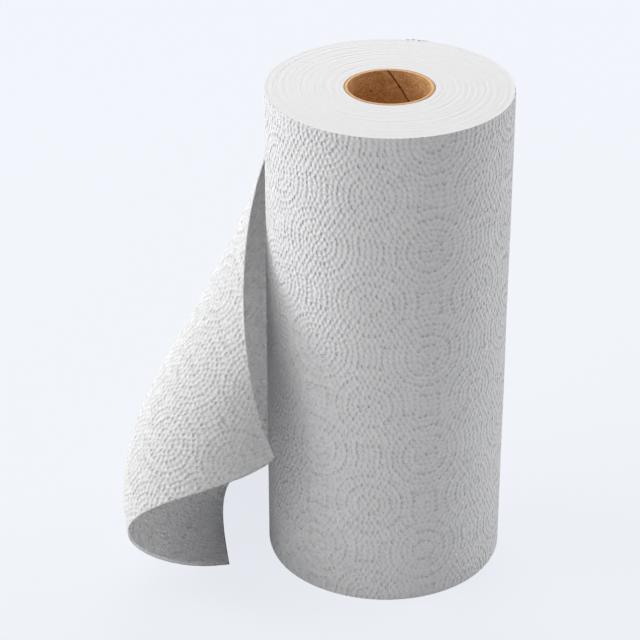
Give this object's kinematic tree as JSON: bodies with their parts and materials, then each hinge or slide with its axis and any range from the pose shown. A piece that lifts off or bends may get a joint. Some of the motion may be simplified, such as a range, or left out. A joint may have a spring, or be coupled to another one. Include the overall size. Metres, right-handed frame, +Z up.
{
  "type": "paper towel roll",
  "caption": "Paper towel roll standing on end: an embossed paper web wound in a spiral on a cardboard core, with its last sheet hanging loose in a wide curl.",
  "frame": {"origin": "on the roll's axis, at the base that it stands on", "axes": "+Z up the roll's axis; the loose sheet hangs towards -X and its free edge faces -Y"},
  "size_m": [0.2107, 0.1576, 0.279],
  "materials": {
    "paper": "matt embossed tissue",
    "cardboard": "matt unbleached board"
  },
  "bodies": {
    "root": {"paper_roll": "paper", "core_tube": "cardboard"}
  },
  "joints": []
}
